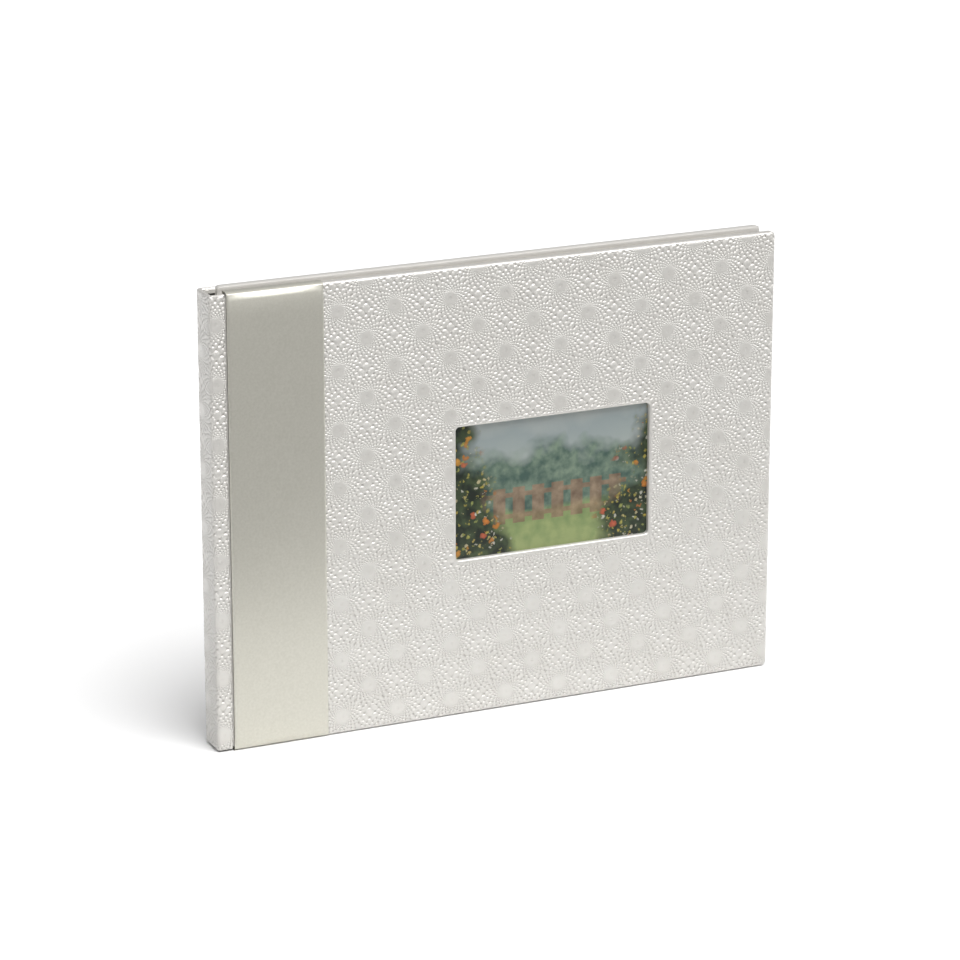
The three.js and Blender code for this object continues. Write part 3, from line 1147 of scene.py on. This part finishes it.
@dataclass
class Band:
    """The smooth padded band round the front cover at its spine end."""

    left: float = 0.5
    right: float = 48.1
    head: float = 222.0
    face_y: float = -1.6
    cover_y: float = -0.1
    inner_y: float = 5.1
    edge_thickness: float = 0.3
    turn_in: float = 12.0
    roll: float = 4.0
    inner_roll: float = 1.3
    back_roll: float = 0.4
    crown: float = 0.6
    end_drop: float = 0.8
    ease: float = 11.0
    ease_drop: float = 0.9
    left_round: float = 1.6
    right_round: float = 1.2
    end_lift: float = 0.25
    fold: float = 0.1
    fill: float = 0.95
    columns: tuple[float, ...] = (0.0, 0.15, 0.4, 0.8, 1.3, 2.0, 2.8, 4.0)
    plain_columns: int = 12
    face_rows: int = 90

    def section(self) -> np.ndarray:
        """The closed section, outside and then inside.

        Returns:
            Rows of depth, height and share of the padding.
        """
        thin = self.edge_thickness
        back, top, end = self.inner_y - thin, self.head - thin, self.head - self.turn_in
        outer = SoftPath(((self.inner_y, end, 0.0), (self.inner_y, self.head, self.back_roll),
                          (self.face_y, self.head, self.roll), (self.face_y, 0.0, self.roll),
                          (self.inner_y, 0.0, self.back_roll), (self.inner_y, self.turn_in, 0.0)))
        inner = SoftPath(((back, self.turn_in, 0.0), (back, thin, self.fold),
                          (self.cover_y, thin, self.inner_roll), (self.cover_y, top, self.inner_roll),
                          (back, top, self.fold), (back, end, 0.0)))
        outside = self.filled(outer)
        padding = np.clip((self.cover_y - outside[:, 0]) / (self.cover_y - self.face_y), 0, 1)
        first = np.column_stack((outside, padding))
        second = np.column_stack((inner.points, np.zeros(len(inner.points))))
        return np.vstack((first, second, first[:1]))

    def filled(self, path: SoftPath) -> np.ndarray:
        """The path's points, with more of them down its long face.

        Args:
            path: the path.

        Returns:
            The points, one row each.
        """
        extra = np.linspace(0, path.length, self.face_rows)
        points, _ = path.at(np.unique(np.concatenate((path.along, extra))))
        return points

    def build(self) -> bpy.types.Object:
        """Models the band and lets it ride on the front cover.

        Returns:
            The piece.
        """
        section = self.section()
        ends = np.array(self.columns)
        plain = np.linspace(self.left + ends[-1], self.right - ends[-1], self.plain_columns)[1:-1]
        xs = np.concatenate((self.left + ends, plain, self.right - ends[::-1]))
        rows = np.arange(len(section), dtype=float)
        piece = Bench.plate("band_wrap", len(xs) - 1, len(section) - 1)
        x, row = Bench.lay(piece, xs, rows)
        depth, height, padding = section[row.astype(int)].T
        across = (x - (self.left + self.right) / 2) / ((self.right - self.left) / 2)
        drop = self.crown * across ** 2
        for gap, reach in ((x - self.left, self.left_round), (self.right - x, self.right_round)):
            close = np.clip(1 - gap / reach, 0, 1)
            drop = drop + self.end_drop * (1 - np.sqrt(1 - close ** 2))
        ease = np.clip(1 - np.minimum(height, self.head - height) / self.ease, 0, 1)
        drop = drop + self.ease_drop * ease ** 2
        low = np.clip((self.roll - height) / self.roll, 0, 1)
        high = np.clip((height - self.head + self.roll) / self.roll, 0, 1)
        lift = self.end_lift * drop * padding * (low - high)
        Bench.write(piece, np.stack((x, depth + drop * padding, height + lift), -1))
        Bench.close(piece)
        Bench.edit(piece, "EDGE")
        for end in (self.left, self.right):
            bpy.ops.mesh.select_all(action="DESELECT")
            Bench.pick_rim(piece, lambda at: abs(at[0] - end) < NEAR)
            bpy.ops.mesh.edge_face_add()
        Bench.close(piece)
        Bench.smooth(piece, 50.0)
        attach(piece, Body.FRONT.value)
        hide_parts("front_band")
        dress(piece, Satin().material("satin_pearl"))
        LOG.info("%s: %d faces", piece.name, len(piece.data.polygons))
        return piece


@dataclass
class FrontCover:
    """Front cover: embossed skin with its window, the band, the print, the boards and the lining."""

    pattern: Sunburst = field(default_factory=lambda: Sunburst(centre_u=69.3, centre_v=193.1))
    window: Window = field(default_factory=Window)
    band: Band = field(default_factory=Band)
    cell: float = 0.78

    def build(self) -> None:
        """Models and dresses the front cover."""
        skin = WrappedSkin(
            name="front_skin", node="front_covering", body=Body.FRONT, left=0.5, right=283.1, foot=0.4,
            head=221.6, face_y=0.0, inner_y=4.7, pattern=self.pattern, cell=self.cell, smooth_to=47.0,
            window=self.window)
        dress(skin.build(), Leatherette(self.pattern).material("embossed_pearl_front"))
        self.band.build()
        view = GardenPrint(*self.window.middle, *self.window.half)
        dress_node("window_print", view.material("garden_print"))
        board = GREYBOARD.material("greyboard_front")
        dress_node("front_frame_board", board)
        dress_node("front_backing_board", board)
        dress_node("front_lining", LINING_PAPER.material("lining_front"))


@dataclass
class BackCover:
    """Back cover: one board in the same skin, with its lining."""

    pattern: Sunburst = field(default_factory=lambda: Sunburst(centre_u=69.3, centre_v=193.1))
    cell: float = 0.98

    def build(self) -> None:
        """Models and dresses the back cover."""
        skin = WrappedSkin(
            name="back_skin", node="back_covering", body=Body.BACK, left=1.6, right=283.1, foot=0.0,
            head=221.2, face_y=19.26, inner_y=15.46, pattern=self.pattern, cell=self.cell, edge_press=0.0,
            flap_press=0.0)
        dress(skin.build(), Leatherette(self.pattern).material("embossed_pearl_back"))
        dress_node("back_board", GREYBOARD.material("greyboard_back"))
        dress_node("back_lining", LINING_PAPER.material("lining_back"))


@dataclass
class Spine:
    """Spine: the stiff C in its embossed skin, hemmed at head and foot, the channel and the leaves."""

    face_x: float = -7.8
    front_y: float = 0.3
    back_y: float = 17.26
    front_end: float = -0.2
    back_end: float = 1.0
    foot: float = 0.8
    head: float = 221.2
    corner: float = 1.8
    wall: float = 2.2
    rim_round: float = 1.0
    hem: float = 2.7
    skin: float = 0.55
    hem_press: float = 0.5
    cell: float = 0.72
    centre_from_front: float = 4.46
    centre_z: float = 207.3

    def plan(self) -> SoftPath:
        """The C seen from above, from the back flange to the front one."""
        return SoftPath(((self.back_end, self.back_y, 0.0), (self.face_x, self.back_y, self.corner),
                         (self.face_x, self.front_y, self.corner), (self.front_end, self.front_y, 0.0)))

    def rise(self) -> SoftPath:
        """The wall's section: hem, rim, outer face, rim and hem.

        Returns:
            The path: how far out it is, and its height.
        """
        return SoftPath(((-self.wall, self.foot + self.hem, 0.0), (-self.wall, self.foot, self.rim_round),
                         (0.0, self.foot, self.rim_round), (0.0, self.head, self.rim_round),
                         (-self.wall, self.head, self.rim_round), (-self.wall, self.head - self.hem, 0.0)))

    def build(self) -> None:
        """Models and dresses the spine."""
        plan, rise = self.plan(), self.rise()
        middle = rise.at(np.array((rise.length / 2,)))[0][0, 1] - rise.length / 2
        pattern = Sunburst(centre_u=plan.length - self.centre_from_front, centre_v=self.centre_z - middle)
        xs = ruled((0.0, plan.length), (self.cell,))
        zs = ruled((0.0, rise.length), (self.cell,))
        piece = Bench.plate("spine_skin", len(xs) - 1, len(zs) - 1)
        u, v = Bench.lay(piece, xs, zs)
        path, out = plan.at(u)
        section, tilt = rise.at(v)
        flat = path + out * section[:, :1]
        inset = -section[:, 0]
        flat[:, 0] = np.maximum(flat[:, 0], self.face_x + inset)
        flat[:, 1] = np.clip(flat[:, 1], self.front_y + inset, self.back_y - inset)
        relief = pattern.relief(u, v) * np.clip(1 + section[:, 0], 0, 1)
        normals = np.column_stack((out * tilt[:, :1], tilt[:, 1]))
        Bench.write(piece, np.column_stack((flat, section[:, 1])) + normals * relief[:, None])
        Bench.mark(piece, u, v, np.clip(1 + section[:, 0], self.hem_press, 1))
        Bench.thicken(piece, self.skin)
        Bench.close(piece)
        Bench.smooth(piece)
        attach(piece, Body.SPINE.value)
        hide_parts("spine_covering")
        dress(piece, Leatherette(pattern).material("embossed_pearl_spine"))
        LOG.info("%s: %d faces", piece.name, len(piece.data.polygons))
        # The stiffener is near-black as painted shade for the shade inside the spine.
        dress_node("spine_stiffener", PAINTED_SHADE_BOARD.material("painted_shade_board"))
        dress_node("page_channel", SheetSteel().material("channel_steel"))
        dress_node("page_block", LEAF_PAPER.material("leaf_paper"))


@dataclass
class JointLeather:
    """The narrow strip of leatherette across the joint between the spine and one cover."""

    name: str
    cover: Body
    spine_end: float
    cover_start: float
    edge_y: float
    valley_y: float
    foot: float = 2.2
    head: float = 219.8
    thickness: float = 0.2
    cell: float = 4.0
    steps: int = 12

    def build(self) -> None:
        """Models the strip with a dip across its joint."""
        middle = (self.spine_end + self.cover_start) / 2
        path = SoftPath(((self.spine_end, self.edge_y, 0.0), (middle, self.valley_y, 0.1),
                         (self.cover_start, self.edge_y, 0.0)))
        xs = ruled((0.0, path.length), (path.length / self.steps,))
        zs = ruled((self.foot, self.head), (self.cell,))
        piece = Bench.plate(self.name, len(xs) - 1, len(zs) - 1)
        u, v = Bench.lay(piece, xs, zs)
        Bench.write(piece, np.column_stack((path.at(u)[0], v)))
        Bench.mark(piece, u, v, np.array((0.0,)))
        Bench.thicken(piece, self.thickness)
        Bench.close(piece)
        Bench.smooth(piece)
        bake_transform(piece)
        dress(piece, Leatherette(Sunburst(0.0, 0.0)).material(f"{self.name}_leatherette"))
        LOG.info("%s: %d faces", piece.name, len(piece.data.polygons))


@dataclass
class Studio:
    """The plain studio: floor, soft light, a card and a panel for reflections, and the camera, in metres."""

    floor_size: float = 14.0
    camera: tuple[float, float, float] = (-0.7709, -1.6769, 0.6913)
    yaw: float = 24.5
    pitch: float = 17.4
    lens: float = 152.3
    sensor: float = 36.0
    sky_low: float = 0.3
    sky_top: float = 0.7
    lamp_strength: float = 2.8
    lamp_spread: float = 45.0
    lamp_from: tuple[float, float, float] = (0.14, -0.46, 0.88)
    box_at: tuple[float, float, float] = (0.45, -1.5, 1.25)
    box_wide: float = 2.4
    box_tall: float = 1.0
    box_strength: float = 4.9
    card_front: float = -0.2
    card_depth: float = 1.6
    card_width: float = 3.0
    card_lift: float = 0.003

    def build(self) -> None:
        """Sets up the studio."""
        self.lay_floor()
        self.place_card()
        self.hang_box()
        self.light()
        self.aim()
        bpy.context.scene.view_settings.view_transform = "Standard"

    def lay_floor(self) -> None:
        """Lays the floor and the white surroundings."""
        Bench.clear()
        bpy.ops.mesh.primitive_plane_add(size=self.floor_size, location=(0, 0, 0))
        floor = bpy.context.active_object
        floor.name = "studio_floor"
        d = Dresser("studio_white")
        tone = d.ramp(d.noise(3.0), ((0.3, (0.93, 0.93, 0.93)), (0.7, (0.95, 0.95, 0.95))))
        dress(floor, d.finish(Base_Color=tone, Roughness=0.9, Specular_IOR_Level=0.1))
        world = bpy.data.worlds.new("studio_surroundings")
        world.use_nodes = True
        tree = world.node_tree
        direction = tree.nodes.new("ShaderNodeTexCoord")
        split = tree.nodes.new("ShaderNodeSeparateXYZ")
        rise = tree.nodes.new("ShaderNodeMath")
        rise.operation = "POWER"
        rise.inputs[1].default_value = 2.0
        sky = tree.nodes.new("ShaderNodeMath")
        sky.operation = "MULTIPLY_ADD"
        sky.inputs[1].default_value = self.sky_top - self.sky_low
        sky.inputs[2].default_value = self.sky_low
        tree.links.new(direction.outputs["Generated"], split.inputs[0])
        tree.links.new(split.outputs[2], rise.inputs[0])
        tree.links.new(rise.outputs[0], sky.inputs[0])
        tree.links.new(sky.outputs[0], tree.nodes["Background"].inputs[1])
        tree.nodes["Background"].inputs[0].default_value = (1.0, 1.0, 1.0, 1.0)
        bpy.context.scene.world = world

    @staticmethod
    def show_in_gloss(piece: bpy.types.Object) -> None:
        """Hides a piece of the studio from all but reflections."""
        piece.visible_camera = piece.visible_diffuse = False
        piece.visible_shadow = piece.visible_transmission = False

    def place_card(self) -> None:
        """Lays the grey card in front of the album."""
        Bench.clear()
        at = (0.0, self.card_front - self.card_depth / 2, self.card_lift)
        bpy.ops.mesh.primitive_plane_add(size=1, location=at)
        card = bpy.context.active_object
        card.name = "studio_card"
        card.scale = (self.card_width, self.card_depth, 1)
        self.show_in_gloss(card)
        d = Dresser("card_grey")
        tone = d.ramp(d.noise(4.0), ((0.3, (0.10, 0.10, 0.10)), (0.7, (0.12, 0.12, 0.12))))
        dress(card, d.finish(Base_Color=tone, Roughness=0.9))

    def hang_box(self) -> None:
        """Hangs the bright panel above and in front."""
        Bench.clear()
        towards = (Vector((0.0, 0.0, 0.11)) - Vector(self.box_at)).to_track_quat("-Z", "Y").to_euler()
        bpy.ops.mesh.primitive_plane_add(size=1.0, location=self.box_at, rotation=towards)
        panel = bpy.context.active_object
        panel.scale = (self.box_wide, self.box_tall, 1.0)
        bpy.ops.object.transform_apply(location=False, rotation=False, scale=True)
        panel.name = "studio_panel"
        self.show_in_gloss(panel)
        d = Dresser("panel_white")
        dress(panel, d.finish(Base_Color=(0.0, 0.0, 0.0), Roughness=1.0, Specular_IOR_Level=0.0,
                              Emission_Color=(1.0, 1.0, 1.0), Emission_Strength=self.box_strength))

    def light(self) -> None:
        """Hangs the soft light, high in front."""
        Bench.clear()
        bpy.ops.object.light_add(type="SUN", location=self.lamp_from)
        lamp = bpy.context.active_object
        lamp.name = "studio_light"
        lamp.data.energy = self.lamp_strength
        lamp.data.angle = math.radians(self.lamp_spread)
        lamp.rotation_euler = (-Vector(self.lamp_from)).to_track_quat("-Z", "Y").to_euler()

    def aim(self) -> None:
        """Places the camera at the photograph's angle."""
        bpy.ops.object.camera_add(location=self.camera,
                                  rotation=(math.radians(90 - self.pitch), 0, math.radians(-self.yaw)))
        camera = bpy.context.active_object
        camera.name = "studio_camera"
        camera.data.lens = self.lens
        camera.data.sensor_width = self.sensor
        bpy.context.scene.camera = camera


def main() -> None:
    """Builds the studio, then the album's sub-assemblies in order."""
    logging.basicConfig(level=logging.INFO, format="%(name)s: %(message)s")
    Studio().build()
    FrontCover().build()
    BackCover().build()
    Spine().build()
    JointLeather("front_joint", Body.FRONT, spine_end=-0.2, cover_start=0.5, edge_y=0.5, valley_y=0.9).build()
    JointLeather("back_joint", Body.BACK, spine_end=1.0, cover_start=1.6, edge_y=16.6, valley_y=16.1).build()


if __name__ == "__main__":
    main()
